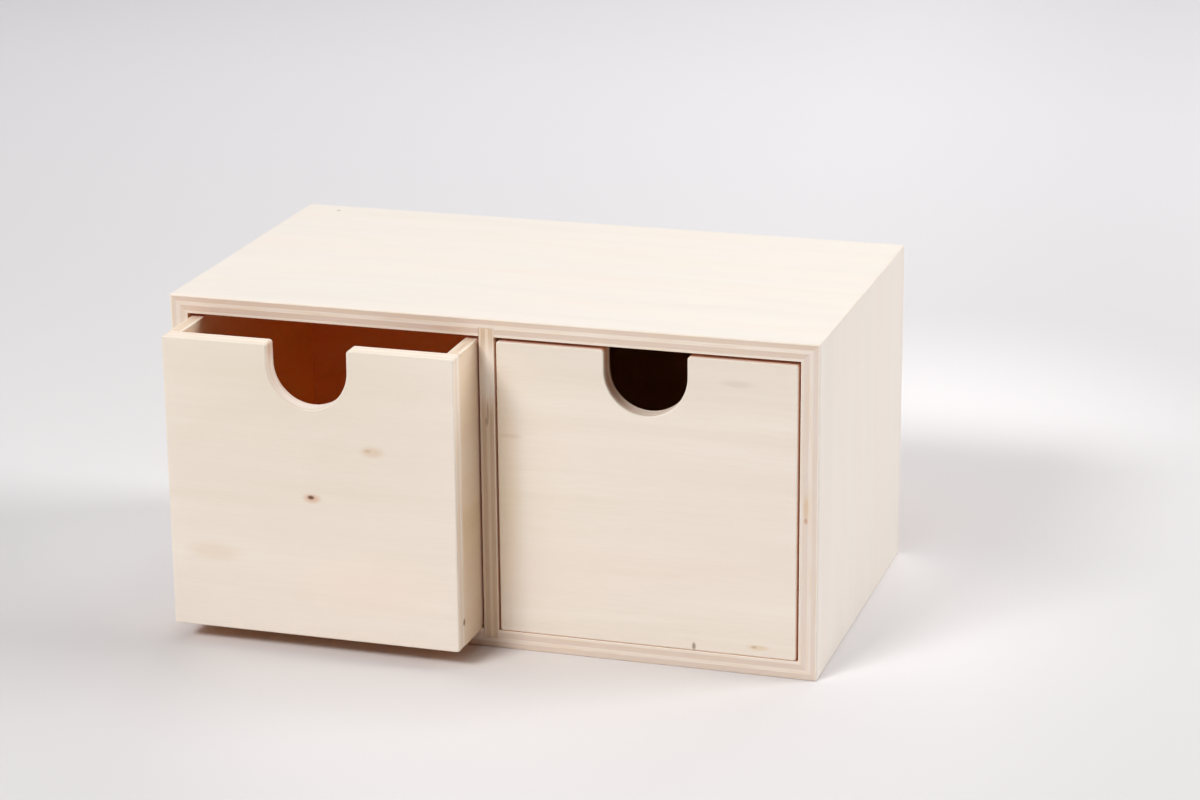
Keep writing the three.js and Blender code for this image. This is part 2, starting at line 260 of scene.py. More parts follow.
# board: body, material slot, face grain axis, thickness axis, side of the outer face, edge
BOARDS = {
    "top_panel": ("carcass", "ply_carcass", X, Z, 1, "bold"),
    "bottom_panel": ("carcass", "ply_carcass", X, Z, -1, "clear"),
    "left_side": ("carcass", "ply_carcass", Z, X, -1, "soft"),
    "right_side": ("carcass", "ply_carcass", Z, X, 1, "soft"),
    "centre_divider": ("carcass", "ply_carcass", Z, X, 1, "deep"),
    "back_panel": ("carcass", "ply_thin", X, Y, 1, "thin"),
}
for drawer in DRAWERS:
    BOARDS.update({
        f"{drawer}_front": (drawer, "ply_drawer", X, Y, -1, "faint"),
        f"{drawer}_side_left": (drawer, "ply_drawer", Y, X, -1, "plain"),
        f"{drawer}_side_right": (drawer, "ply_drawer", Y, X, 1, "plain"),
        f"{drawer}_back": (drawer, "ply_drawer", X, Y, 1, "plain"),
        f"{drawer}_bottom": (drawer, "ply_thin", X, Z, -1, "thin"),
    })

# Each board is cut from its own stretch of veneer, this far apart, so no two are alike.
STRETCH_ALONG, STRETCH_ACROSS, STRETCHES_IN_ROW = 0.5, 0.4, 4


def thickness_of(name):
    """A board's thickness in metres."""
    low, high = BOX[name]
    return (high - low)[BOARDS[name][3]]


def board_place(name, point):
    """A point of the frame as the board sees it: along the grain, across it, how deep."""
    grain, thick, side = BOARDS[name][2:5]
    across = X + Y + Z - grain - thick
    low, high = BOX[name]
    middle = (low + high) / 2
    row, column = divmod(list(BOARDS).index(name), STRETCHES_IN_ROW)
    outer = high[thick] if side > 0 else low[thick]
    return Vector((
        point[grain] - middle[grain] + column * STRETCH_ALONG,
        point[across] - middle[across] + row * STRETCH_ACROSS,
        (outer - point[thick]) * side,
    ))


print(len(BOARDS), "boards, from", round(min(map(thickness_of, BOARDS)) / MM, 1), "to",
      round(max(map(thickness_of, BOARDS)) / MM, 1), "mm thick")

# %% [markdown]
# ## Marks in the wood, and painted light and shade
# Nobody sorts the veneer of a box like this. It has a dark pin knot, a few pale brown
# smudges, a wide paler patch on the right side and some plies with a small knot in their
# edge. The same soft ellipses also paint light and shade: painted shade over the upper
# drawer fronts and painted light low on the left one, the painted shadow of the open drawer
# on the right front, painted shade on the notches' left walls, and painted light on the
# open notch's floor and on the upper divider. A painted picture could hold that, but a soft
# ellipse at its own place in its own board stays smooth from near by. The marks are few and
# each has its own spot, so they are listed and not scattered by chance.
# %% Marks in the wood, and painted light and shade
# board, place in mm, half sizes in mm (along grain, across, deep), colour, strength
MARKS_AND_PAINTED_LIGHT = [
    # Painted shade and light: the next two wide patches darken the upper half of the left front,
    # and the third is painted light low on it, as the fronts are lit less at the top and more at
    # the bottom.
    ("left_drawer_front", (-85.0, -116, 140.0), (75.0, 30.0, 2), "#E5D8C4", 0.45),
    ("left_drawer_front", (-80.0, -116, 98.0), (85.0, 48.0, 2), "#E2D5C3", 0.35),
    ("left_drawer_front", (-45.0, -116, 36.0), (34.0, 15.0, 2), "#F6E2D3", 0.4),
    ("left_drawer_front", (-120.0, -116, 45.0), (13.0, 4.5, 2), "#E2C3A4", 0.3),
    ("left_drawer_front", (-71.9, -116, 74.6), (4.2, 2.2, 2), "#D08F60", 0.5),
    ("left_drawer_front", (-72.3, -116, 75.0), (1.7, 1.0, 2), "#5E3418", 0.92),
    ("left_drawer_front", (-42.8, -116, 98.6), (5.5, 2.6, 2), "#D2AC80", 0.38),
    ("left_drawer_front", (-45.0, -116, 99.0), (1.8, 0.8, 2), "#BC8F62", 0.35),
    # Painted light: the bottom of the left drawer's notch is painted paler, as light from above
    # falls on it.
    ("left_drawer_front", (-72.5, -111.8, 116.0), (19.0, 15.0, 3.1), "#FFF6EE", 0.9),
    # Painted shade: the top of the left notch's left wall is browner where shade falls.
    ("left_drawer_front", (-90.4, -111.0, 142.5), (1.9, 8.0, 4.0), "#C08F60", 0.5),
    ("left_drawer_front", (-4.4, -108.8, 20.6), (2.0, 1.7, 1.5), "#7C5C3C", 0.85),
    # Painted shade: this wide patch darkens the top of the right drawer front, as it is lit less
    # at the top.
    ("right_drawer_front", (72.0, -85, 142.0), (85.0, 24.0, 2), "#E5DACA", 0.4),
    ("right_drawer_front", (113.4, -85, 133.5), (7.5, 1.7, 2), "#C2B29C", 0.24),
    ("right_drawer_front", (94.3, -85, 10.9), (0.9, 1.9, 2), "#6B5236", 0.7),
    ("right_drawer_front", (123.5, -85, 13.2), (5.0, 1.3, 2), "#D9B274", 0.36),
    ("right_drawer_front", (121.6, -85, 13.4), (1.4, 0.7, 2), "#A88A52", 0.4),
    ("right_drawer_front", (10.0, -85, 101.0), (6.0, 1.2, 2), "#C9A87F", 0.24),
    # Painted shade: the right notch's left wall is browner where it lies in shade under the top
    # panel.
    ("right_drawer_front", (54.6, -80.8, 141.0), (2.1, 15.0, 4.4), "#B8824C", 0.7),
    ("right_drawer_front", (57.5, -80.8, 124.0), (9.0, 11.0, 3.1), "#AE7E50", 0.5),
    # Painted shadow: the open left drawer's shadow on the right front's left edge, warmed as if by
    # light bounced from the drawer's side.
    ("right_drawer_front", (5.0, -85, 72.0), (10.0, 62.0, 2), "#EBCF9F", 0.3),
    ("right_side", (150, 0, 77.0), (90.0, 110.0, 2), "#FBF4EC", 0.15),
    ("right_side", (144.3, -85, 80.0), (6.0, 2.0, 1.2), "#DDB98C", 0.55),
    ("right_side", (144.3, -85, 74.0), (1.5, 2.0, 0.9), "#C58F66", 0.6),
    ("top_panel", (-20.0, -85, 148.3), (8.0, 2.5, 0.8), "#D6A88E", 0.3),
    ("top_panel", (-131.4, 75.9, 154), (1.0, 0.8, 2), "#8F857A", 0.8),
    ("left_drawer_side_right", (-7.0, -97.0, 145.5), (9.0, 2.0, 1.0), "#B0714E", 0.45),
    # Painted light: the upper part of the divider's front edge is painted paler, as the open
    # drawer's shadow covers less of it there.
    ("centre_divider", (1.0, -85, 128.0), (15.0, 3.0, 5.0), "#FFF7EC", 0.75),
    ("centre_divider", (0.2, -85, 111.0), (5.5, 3.0, 0.5), "#A37A58", 0.55),
    ("centre_divider", (-0.4, -85, 106.5), (2.2, 3.0, 0.6), "#8F6547", 0.5),
]
# A mark keeps its strength up to the first share of its half size and is gone at the second.
MARK_CORE, MARK_RIM = 0.35, 1.35


def with_marks_and_painted_light(tree, place, colour):
    """Lays every mark and every patch of painted light and shade over a colour, where the surface
    passes through it.
    """
    for board, at, half_sizes, tint, strength in MARKS_AND_PAINTED_LIGHT:
        centre = board_place(board, Vector(at) * MM)
        scale = [1 / (size * MM) for size in half_sizes]
        from_centre = add(tree, "ShaderNodeVectorMath", {0: place, 1: centre},
                          operation="SUBTRACT")
        scaled = add(tree, "ShaderNodeVectorMath", {0: from_centre.outputs[0], 1: scale},
                     operation="MULTIPLY")
        reach = add(tree, "ShaderNodeVectorMath", {0: scaled.outputs[0]}, operation="LENGTH")
        amount = add(tree, "ShaderNodeMapRange", {
            "Value": reach.outputs["Value"], "From Min": MARK_CORE, "From Max": MARK_RIM,
            "To Min": strength, "To Max": 0.0}, interpolation_type="SMOOTHSTEP")
        colour = add(tree, "ShaderNodeMix", {0: amount.outputs[0], 6: colour,
                                             7: (*linear(tint), 1)},
                     data_type="RGBA").outputs[2]
    return colour


print(len(MARKS_AND_PAINTED_LIGHT), "marks")

# %% [markdown]
# ## Grain from stretched noise
# The grain of peeled basswood is all long soft blotches: wide bands, narrower streaks and
# single fibres, each many times longer than it is wide. Wave textures would draw lines that
# are too even. Noise that is stretched by a real length, width and depth in millimetres
# gives each of them, and a sum of such noises gives the wood.
# %% Grain from stretched noise
def stretched_noise(tree, place, sizes, detail=2.0):
    """Noise whose blotches have the given sizes in mm."""
    scaled = add(tree, "ShaderNodeVectorMath", {0: place, 1: [1 / (s * MM) for s in sizes]},
                 operation="MULTIPLY")
    return add(tree, "ShaderNodeTexNoise", {"Vector": scaled.outputs[0], "Scale": 1.0,
                                            "Detail": detail, "Roughness": 0.5}).outputs[0]


def weighted_sum(tree, base, parts):
    """base plus each value's distance from its middle times its weight."""
    total = base
    for value, weight in parts:
        centred = add(tree, "ShaderNodeMath", {0: value, 1: 0.5}, operation="SUBTRACT")
        total = add(tree, "ShaderNodeMath", {0: centred.outputs[0], 1: weight, 2: total},
                    operation="MULTIPLY_ADD").outputs[0]
    return total


# Length, width and depth in mm. Fibres are 0.02 mm wide in truth and are drawn at 0.3 mm,
# so that they still show.
BAND_SIZE, STREAK_SIZE = (240, 11, 3), (70, 1.6, 1.0)
FIBRE_SIZE, DASH_SIZE = (9, 0.3, 0.3), (13, 0.75, 0.6)
SWAY_SIZE, BLUSH_SIZE, OPEN_SIZE = (90, 30, 30), (150, 26, 12), (70, 32, 10)
FIGURE_SIZE = (330, 60, 10)
print("grain widths in mm:", [size[1] for size in (BAND_SIZE, STREAK_SIZE, DASH_SIZE, FIBRE_SIZE)])

# %% [markdown]
# ## Light that has bounced off wood
# The inside of a part-open drawer glows a deep orange brown, although its wood is as pale as
# the rest. Light gets there only from board to board, and each bounce takes blue and green
# out of it, more than plain bounces of this pale colour can. A deeper colour on the inner
# boards would give the glow, but a drawer that is pulled out would look stained. So the
# boards keep their plain colour, and only light that has already bounced sees a deeper
# one, as counted by Light Path's Diffuse Depth. In and beside the drawers Ambient
# Occlusion limits that to places that are closed in.
# %% Light that has bounced off wood
# The share of the deeper colour that each bounce adds.
INSIDE_SHARE, OUTSIDE_SHARE, UNDERSIDE_SHARE = 1.0, 0.6, 1.0
# How open a point is where it counts as closed in, and as open, within this many metres.
CLOSED_IN, OPEN_ABOVE, OPEN_REACH = 0.03, 0.18, 0.3
# What bounced light sees: in the carcass and in each drawer, and on the drawers' fronts.
BOUNCES = {"carcass": "#DE9246", "left_drawer": "#FABA30", "right_drawer": "#C88A44"}
FRONT_BOUNCE = "#F1DFC3"


def deepened(tree, colour, bounce, per_bounce, inside=False):
    """The colour itself, except to light that has already bounced off something."""
    ray = add(tree, "ShaderNodeLightPath")
    share = add(tree, "ShaderNodeMath", {0: ray.outputs["Diffuse Depth"], 1: per_bounce},
                operation="MULTIPLY", use_clamp=True)
    if inside:
        openness = add(tree, "ShaderNodeAmbientOcclusion", {"Distance": OPEN_REACH})
        closed = add(tree, "ShaderNodeMapRange", {
            "Value": openness.outputs["AO"], "From Min": CLOSED_IN, "From Max": OPEN_ABOVE,
            "To Min": 1.0, "To Max": 0.0}, interpolation_type="SMOOTHSTEP")
        share = add(tree, "ShaderNodeMath", {0: share.outputs[0], 1: closed.outputs[0]},
                    operation="MULTIPLY")
    return add(tree, "ShaderNodeMix", {0: share.outputs[0], 6: colour,
                                       7: (*linear(bounce), 1)}, data_type="RGBA").outputs[2]


print("bounced light sees:", ", ".join(f"{tint} in the {body}" for body, tint in BOUNCES.items()))

# %% [markdown]
# ## Basswood veneer, peeled and sanded
# The faces are rotary-cut basswood: the log is peeled like a roll of paper, so the grain
# swings in long shallow waves and has hardly any contrast. Sanding leaves it matt with a
# faint silkiness. A scanned wood texture would repeat and would show the same board twice,
# so the pattern is built in each board's own directions, from wide bands down to single
# fibres, and moves the colour between a pale and a warm tone. The fibres also give a very
# shallow relief and a little change of roughness.
# %% Basswood veneer, peeled and sanded
# How far the lines swing to each side in mm, and how many lines the figure has.
SWAY_REACH, FIGURE_LINES = 4.0, 7.0
RING_START = 0.2
BAND_WEIGHT, STREAK_WEIGHT, RING_WEIGHT = 0.9, 0.42, 0.12
# Fibres show more in some places than in others: their mean weight, and how it varies.
OPEN_MEAN, OPEN_SPREAD = 0.36, 0.9
BLUSH, BLUSH_MEAN, BLUSH_SPREAD = "#F1E2D7", 0.2, 1.2
GRAIN_DEPTH, GRAIN_STRENGTH = 0.06 * MM, 0.35
VENEER_ROUGHNESS, VENEER_SPECULAR = 0.66, 0.35


def veneer_material(name, pale, warm, bounce=None, per_bounce=OUTSIDE_SHARE, inside=False):
    """Sanded basswood between two tones, and what bounced light sees of it."""
    material, tree = new_material(name)
    place = add(tree, "ShaderNodeAttribute", attribute_name="board_place").outputs["Vector"]
    sway = weighted_sum(tree, 0.0, [(stretched_noise(tree, place, SWAY_SIZE),
                                     SWAY_REACH * MM * 2)])
    shift = add(tree, "ShaderNodeCombineXYZ", {"Y": sway})
    line = add(tree, "ShaderNodeVectorMath", {0: place, 1: shift.outputs[0]},
               operation="ADD").outputs[0]
    band = stretched_noise(tree, line, BAND_SIZE)
    streak = stretched_noise(tree, line, STREAK_SIZE)
    fibre = stretched_noise(tree, line, FIBRE_SIZE, 1.0)
    dash = stretched_noise(tree, line, DASH_SIZE, 1.0)
    contour = add(tree, "ShaderNodeMath", {
        0: stretched_noise(tree, place, FIGURE_SIZE, 1.0), 1: FIGURE_LINES * math.tau},
        operation="MULTIPLY")
    wave = add(tree, "ShaderNodeMath", {0: contour.outputs[0]}, operation="SINE")
    ring = add(tree, "ShaderNodeMapRange", {"Value": wave.outputs[0], "From Min": RING_START,
                                            "From Max": 1.0}, interpolation_type="SMOOTHSTEP")
    open_grain = weighted_sum(tree, OPEN_MEAN, [(stretched_noise(tree, place, OPEN_SIZE),
                                                 OPEN_SPREAD)])
    amount = weighted_sum(tree, 0.5, [
        (band, BAND_WEIGHT), (streak, STREAK_WEIGHT), (fibre, open_grain),
        (dash, open_grain), (ring.outputs[0], RING_WEIGHT)])
    colour = add(tree, "ShaderNodeMix", {0: amount, 6: (*linear(pale), 1),
                                         7: (*linear(warm), 1)}, data_type="RGBA").outputs[2]
    blush = weighted_sum(tree, BLUSH_MEAN, [(stretched_noise(tree, place, BLUSH_SIZE),
                                             BLUSH_SPREAD)])
    colour = add(tree, "ShaderNodeMix", {0: blush, 6: colour, 7: (*linear(BLUSH), 1)},
                 data_type="RGBA").outputs[2]
    colour = with_marks_and_painted_light(tree, place, colour)
    if bounce:
        colour = deepened(tree, colour, bounce, per_bounce, inside)
    height = weighted_sum(tree, 0.0, [(streak, 0.5), (fibre, 1.0)])
    bump = add(tree, "ShaderNodeBump", {"Strength": GRAIN_STRENGTH, "Distance": GRAIN_DEPTH,
                                        "Height": height})
    rough = weighted_sum(tree, VENEER_ROUGHNESS, [(streak, 0.12), (fibre, 0.1)])
    shader = add(tree, "ShaderNodeBsdfPrincipled", {
        "Base Color": colour, "Roughness": rough, "Normal": bump.outputs[0],
        "Specular IOR Level": VENEER_SPECULAR})
    add(tree, "ShaderNodeOutputMaterial", {"Surface": shader.outputs[0]})
    return material


print("relief of the grain:", round(GRAIN_DEPTH / MM, 2), "mm")

# %% [markdown]
# ## Which veneer goes where
# One box is made from several sheets: the carcass has the palest, the drawers' fronts are
# a little warmer, and the thin boards and the inner faces warmer still. One material with a
# switch could hold them all, but one function that is called with each sheet's two tones
# keeps them apart by name. The divider shows its inner face on both sides.
# %% Which veneer goes where
OUTER_VENEER = {
    "ply_carcass": veneer_material("basswood_veneer_carcass", "#F1EAE1", "#E9E1D6"),
    "ply_drawer": veneer_material("basswood_veneer_drawer", "#F5ECE0", "#EADDCC",
                                  FRONT_BOUNCE),
    "ply_thin": veneer_material("basswood_veneer_thin", "#EAD9C2", "#DCC5A8", "#CC9C6A",
                                UNDERSIDE_SHARE),
}
# The drawers' sides and backs are deeper and yellower than the fronts: partly their own wood,
# partly painted shade, as they show only in shaded gaps.
GAP_VENEER = veneer_material("basswood_veneer_drawer_side", "#EFDABC", "#E2C7A2",
                             BOUNCES["carcass"], INSIDE_SHARE, inside=True)
INNER_VENEER = {
    body: veneer_material(f"basswood_veneer_inside_{body}", "#F3E1C3", "#E9D1AC", bounce,
                          INSIDE_SHARE, inside=body in DRAWERS)
    for body, bounce in BOUNCES.items()
}


def face_veneers(name):
    """The materials of a board's outer and inner face."""
    body, slot = BOARDS[name][:2]
    inner = INNER_VENEER[body]
    if name == "centre_divider":
        return inner, inner
    if "_side_" in name or name.endswith("drawer_back"):
        return GAP_VENEER, inner
    return OUTER_VENEER[slot], inner


print("veneers:", ", ".join(m.name for m in bpy.data.materials if "veneer" in m.name))

# %% [markdown]
# ## Plywood edges
# Along an edge the plies show as bands. A ply whose grain runs along the edge looks light
# and streaky, and one that ends there looks darker, pinker and porous, because the cut
# fibres swallow light. The same edge of another board shows them the other way round.
# Stripes could be modelled ply by ply, but plies are no thicker than a line here, so one
# material asks how deep the point lies, which ply that is, and whether that ply is seen
# from its end. The arrises are paler where they face up or sideways: partly wear from the
# sanding block, partly a painted highlight.
# %% Plywood edges
# Where one ply ends and the next begins, as shares of the board's thickness.
PLY_JOINTS = {"five": (0.094, 0.341, 0.576, 0.835), "three": (0.2, 0.8)}
# How soft a joint is and how far it wanders, as shares of the thickness too.
JOINT_BLUR, JOINT_WANDER = 0.02, 0.035
LONG_PLY_SIZES, CROSS_PLY_SIZES = (45, 0.6, 0.35), (0.6, 45, 0.35)
WANDER_SIZE = (14, 14, 200)
SMEAR_SIZE, PATCH_SIZE, TINT_SIZE = (7, 7, 0.3), (30, 30, 1.5), (18, 18, 0.9)
PLY_STREAK, PLY_SMEAR, PLY_PATCH = 0.5, 1.1, 0.5
GLUE = "#C9A78A"
TINT, TINT_MEAN, TINT_SPREAD = "#E6CDA9", 0.1, 1.4
# Pale arrises: partly wear from sanding, partly a painted highlight where an arris catches the
# light.
RUBBED_AND_HIGHLIT, RUB_AND_HIGHLIGHT_SIZE, RUB_AND_HIGHLIGHT_MEAN, RUB_AND_HIGHLIGHT_SPREAD = "#FDF3E6", (12, 12, 12), 0.6, 0.9
SAWN_DEPTH, SAWN_STRENGTH = 0.08 * MM, 0.4
EDGE_ROUGHNESS, EDGE_SPECULAR = 0.75, 0.3


def edge_material(name, joints, long_grain, end_grain, glue_strength, bounce=None):
    """A sanded plywood edge: its plies, its glue lines and its arrises, paler from sanding and a
    painted highlight.
    """
    material, tree = new_material(name)
    place = add(tree, "ShaderNodeAttribute", attribute_name="board_place").outputs["Vector"]
    depth = add(tree, "ShaderNodeAttribute", attribute_name="ply_share").outputs["Fac"]
    facing = add(tree, "ShaderNodeAttribute", attribute_name="end_share").outputs["Fac"]
    depth = weighted_sum(tree, depth, [(stretched_noise(tree, place, WANDER_SIZE),
                                        JOINT_WANDER)])
    crossed = add(tree, "ShaderNodeValToRGB", {"Fac": depth})
    glue = add(tree, "ShaderNodeValToRGB", {"Fac": depth})
    for index, joint in enumerate(joints):
        for ramp, before, after in ((crossed.color_ramp, index % 2, (index + 1) % 2),
                                    (glue.color_ramp, 0, 0)):
            ramp.elements.new(joint - JOINT_BLUR).color = (before, before, before, 1)
            ramp.elements.new(joint + JOINT_BLUR).color = (after, after, after, 1)
        glue.color_ramp.elements.new(joint).color = (1, 1, 1, 1)
    for ramp in (crossed.color_ramp, glue.color_ramp):
        ramp.elements[0].color = ramp.elements[-1].color = (0, 0, 0, 1)
    other_way = add(tree, "ShaderNodeMath", {0: 1.0, 1: facing}, operation="SUBTRACT")
    seen_from_end = add(tree, "ShaderNodeMix", {0: crossed.outputs[0], 2: facing,
                                                3: other_way.outputs[0]})
    streak = add(tree, "ShaderNodeMix", {
        0: crossed.outputs[0], 2: stretched_noise(tree, place, LONG_PLY_SIZES),
        3: stretched_noise(tree, place, CROSS_PLY_SIZES)}).outputs[0]
    smear = stretched_noise(tree, place, SMEAR_SIZE)
    amount = weighted_sum(tree, seen_from_end.outputs[0], [
        (streak, PLY_STREAK), (smear, PLY_SMEAR),
        (stretched_noise(tree, place, PATCH_SIZE), PLY_PATCH)])
    colour = add(tree, "ShaderNodeMix", {0: amount, 6: (*linear(long_grain), 1),
                                         7: (*linear(end_grain), 1)}, data_type="RGBA")
    glued = add(tree, "ShaderNodeMath", {0: glue.outputs[0], 1: glue_strength},
                operation="MULTIPLY")
    colour = add(tree, "ShaderNodeMix", {0: glued.outputs[0], 6: colour.outputs[2],
                                         7: (*linear(GLUE), 1)}, data_type="RGBA")
    tint = weighted_sum(tree, TINT_MEAN, [(stretched_noise(tree, place, TINT_SIZE),
                                           TINT_SPREAD)])
    colour = add(tree, "ShaderNodeMix", {0: tint, 6: colour.outputs[2],
                                         7: (*linear(TINT), 1)}, data_type="RGBA")
    arris = add(tree, "ShaderNodeAttribute", attribute_name="arris_share").outputs["Fac"]
    rub_and_highlight = weighted_sum(tree, RUB_AND_HIGHLIGHT_MEAN, [(stretched_noise(tree, place, RUB_AND_HIGHLIGHT_SIZE), RUB_AND_HIGHLIGHT_SPREAD)])
    rubbed_and_highlit = add(tree, "ShaderNodeMath", {0: arris, 1: rub_and_highlight}, operation="MULTIPLY")
    colour = add(tree, "ShaderNodeMix", {0: rubbed_and_highlit.outputs[0], 6: colour.outputs[2],
                                         7: (*linear(RUBBED_AND_HIGHLIT), 1)}, data_type="RGBA")
    colour = with_marks_and_painted_light(tree, place, colour.outputs[2])
    if bounce:
        colour = deepened(tree, colour, bounce, OUTSIDE_SHARE)
    bump = add(tree, "ShaderNodeBump", {"Strength": SAWN_STRENGTH, "Distance": SAWN_DEPTH,
                                        "Height": streak})
    shader = add(tree, "ShaderNodeBsdfPrincipled", {
        "Base Color": colour, "Roughness": EDGE_ROUGHNESS, "Normal": bump.outputs[0],
        "Specular IOR Level": EDGE_SPECULAR})
    add(tree, "ShaderNodeOutputMaterial", {"Surface": shader.outputs[0]})
    return material


# Number of plies, long grain, end grain, strength of the glue line, and what bounced light
# sees where the edge lies in a narrow gap.
EDGE_LOOKS = {
    "bold": ("five", "#F2E5D8", "#DFCABA", 0.25),
    "clear": ("five", "#EFE2D6", "#E0CEC0", 0.2),
    "soft": ("five", "#EEE1D6", "#E5D5C9", 0.12),
    # The divider's edge is darker than the others: partly its own colour, partly painted shade, as
    # it stands in the open drawer's shadow.
    "deep": ("five", "#E9D7C2", "#D6BCA2", 0.35, "#D0A272"),
    "faint": ("five", "#F8EDE0", "#F0E0D1", 0.08, "#DDA868"),
    "plain": ("three", "#F1E3D2", "#E6D1BB", 0.2, BOUNCES["carcass"]),
    "thin": ("three", "#F0E0CD", "#DCC1A8", 0.2),
}
EDGES = {
    look: edge_material(f"basswood_edge_{look}", PLY_JOINTS[plies], *finish)
    for look, (plies, *finish) in EDGE_LOOKS.items()
}
print("edges:", ", ".join(m.name for m in EDGES.values()))

# %% [markdown]
# ## Closing the mitres and the housing
# On the real box the boards are glued, and a glue line is far thinner than a hair. The
# solids leave 0.3 mm there, because a physics model wants no two parts to touch. The boards
# could be built anew from their sizes, but in a copy of a solid only a few points have to
# move: mitred ends meet on the diagonal, and the divider fills its housing. At the tip of
# a mitre, where the arris is rounded, they move square to the diagonal, so that it keeps
# its shape.
# %% Closing the mitres and the housing
GLUE_GAP = 0.3 * MM
MITRE_INSET = GLUE_GAP * math.sqrt(0.5)
NEAR = 0.02 * MM
ARRIS = 0.9 * MM
TIP_DEPTH = ARRIS * (1 - math.sqrt(0.5))
HOUSING_LINE = 0.12 * MM

shell_low, shell_high = BOX["left_side"][0], BOX["right_side"][1]
divider_low, divider_high = BOX["centre_divider"]
MITRED = {"top_panel": X, "bottom_panel": X, "left_side": Z, "right_side": Z}


def close_mitre(name, point):
    """Moves a point of a mitred end onto the diagonal between the two panels."""
    length_axis = MITRED[name]
    outer_axis, side = BOARDS[name][3:5]
    case_low = (shell_low[X], shell_low[Y], 0.0)
    case_high = (shell_high[X], shell_high[Y], BOX["top_panel"][1][Z])
    depth = case_high[outer_axis] - point[outer_axis] if side > 0 \
        else point[outer_axis] - case_low[outer_axis]
    for end in (-1, 1):
        along = case_high[length_axis] - point[length_axis] if end > 0 \
            else point[length_axis] - case_low[length_axis]
        if abs(along - depth - MITRE_INSET) > NEAR:
            continue
        if depth < TIP_DEPTH:
            point[length_axis] += end * GLUE_GAP / 2 * math.sqrt(0.5)
            point[outer_axis] -= side * GLUE_GAP / 2 * math.sqrt(0.5)
        else:
            point[length_axis] += end * MITRE_INSET
    return point


def close_housing(name, point):
    """Closes the housing in top and bottom onto the divider, with a fine line on its left."""
    half_width = divider_high[X]
    if abs(abs(point[X]) - half_width - GLUE_GAP) < NEAR:
        gap = HOUSING_LINE if point[X] < 0 else 0.0
        point[X] = math.copysign(half_width + gap, point[X])
        end = divider_high[Z] if name == "top_panel" else divider_low[Z]
        if abs(abs(point[Z] - end) - GLUE_GAP) < NEAR:
            point[Z] = end
    return point


print("mitred panels:", ", ".join(MITRED), "with gaps of", round(GLUE_GAP / MM, 2), "mm")

# %% [markdown]
# ## Closing the drawers' corners
# A drawer is five boards glued together: its sides butt against the front, and its back
# stands between the sides. The same way holds here: the points that lie one glue gap off
# the board they should touch are laid onto it.
# %% Closing the drawers' corners
def close_drawer(name, point):
    """Sides meet the drawer front, and the ends of the back meet the sides."""
    drawer = name.rsplit("_side", 1)[0].rsplit("_back", 1)[0]
    if "_side_" in name:
        face = BOX[f"{drawer}_front"][1][Y]
        if abs(point[Y] - face - GLUE_GAP) < NEAR:
            point[Y] = face
    elif name.endswith("_back"):
        for side, axis_end in (("left", 1), ("right", 0)):
            face = BOX[f"{drawer}_side_{side}"][axis_end][X]
            if abs(abs(point[X] - face) - GLUE_GAP) < NEAR:
                point[X] = face
    return point


print("drawer boards:", sum(board[0] in DRAWERS for board in BOARDS.values()))

# %% [markdown]
# ## Wood that grips its brads
# A brad is driven tight into the wood, while the solids leave a wide hole round it. The hole
# could be filled, but then wood and brad would share a surface. Drawing its rim in to just
# off the brad shows a driven nail and leaves both as they are.
# %% Wood that grips its brads
BRAD_GRIP = 0.24 * MM
HOLE_REACH = 1.4 * MM
BRADS = {
    body: [name for name in frame["record"]["behaviour"]["bodies"][body] if "_brad_" in name]
    for body in ("carcass", *DRAWERS)
}


def brad_line(name):
    """The middle of a brad's head, and the way in which the head faces."""
    low, high = BOX[name]
    middle = (low + high) / 2
    axis = Y if name.startswith("back_") else X
    side = 1 if axis == Y or "_right_" in name else -1
    middle[axis] = high[axis] if side > 0 else low[axis]
    outward = Vector((0, 0, 0))
    outward[axis] = side
    return middle, outward


def close_brad_hole(lines, point):
    """Draws the wood in towards a brad, so that it is gripped."""
    for head, outward in lines:
        across = point - head
        across -= across.dot(outward) * outward
        if NEAR < across.length < HOLE_REACH:
            point -= across.normalized() * BRAD_GRIP
    return point


print("brads:", ", ".join(f"{len(names)} in the {body}" for body, names in BRADS.items()))

# %% [markdown]
# ## A touch of sandpaper
# The inner edges of the front have been passed over once with fine paper, which leaves a
# thin pale line that catches the light. In the solids they are square. A Bevel modifier
# would round every edge of a board alike, so a short test picks those that show, and only
# they are bevelled.
# %% A touch of sandpaper
TOUCH, TOUCH_STEPS = 0.3 * MM, 3
SQUARE_ON, ALMOST_SQUARE = 0.999, 0.1
HOUSING_HALF = 4.2 * MM
NOTCH_ZONE = 30 * MM
case_front = shell_low[Y]


def wants_touch(name, edge):
    """True for a square edge that shows and that the solid leaves sharp."""
    if len(edge.link_faces) != 2:
        return False
    normals = [face.normal for face in edge.link_faces]
    if any(max(abs(c) for c in normal) < SQUARE_ON for normal in normals):
        return False
    if abs(normals[0].dot(normals[1])) > ALMOST_SQUARE or not edge.is_convex:
        return False
    middle = (edge.verts[0].co + edge.verts[1].co) / 2
    if BOARDS[name][0] == "carcass":
        housed = name in ("top_panel", "bottom_panel") and abs(middle[X]) < HOUSING_HALF
        return abs(middle[Y] - case_front) < NEAR and not housed
    if name.endswith("_front"):
        low, high = BOX[name]
        side_low, side_high = (BOX[name.replace("_front", "_side_left")][1],
                               BOX[name.replace("_front", "_side_right")][0])
        between = side_low[X] < middle[X] < side_high[X]
        return abs(middle[Y] - high[Y]) < NEAR and between and middle[Z] > high[Z] - NOTCH_ZONE
    return False


print("sanded edges:", round(TOUCH / MM, 2), "mm wide, in", TOUCH_STEPS, "steps")

